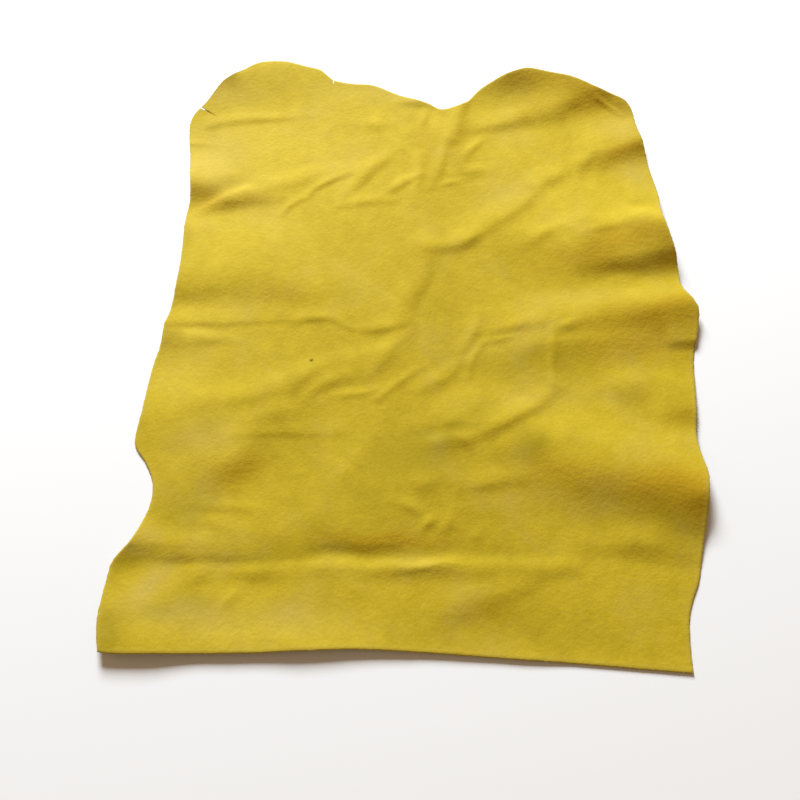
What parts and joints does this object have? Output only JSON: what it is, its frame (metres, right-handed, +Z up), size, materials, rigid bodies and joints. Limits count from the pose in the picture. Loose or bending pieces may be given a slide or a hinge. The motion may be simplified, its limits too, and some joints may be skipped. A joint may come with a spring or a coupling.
{
  "type": "leather hide",
  "caption": "Small yellow suede hide lying loose and slightly wavy on a surface, with a straight cut foot and a lobed neck end.",
  "frame": {"origin": "centre of the hide's bounding box, on the surface that it lies on", "axes": "+Z up, out of the upper side; +Y along the hide from the straight cut foot to the neck lobes; +X to the right flank"},
  "size_m": [0.4425, 0.5422, 0.016],
  "materials": {
    "suede": "matt napped suede, yellow, softly clouded"
  },
  "bodies": {
    "root": {"hide": "suede"}
  },
  "joints": []
}
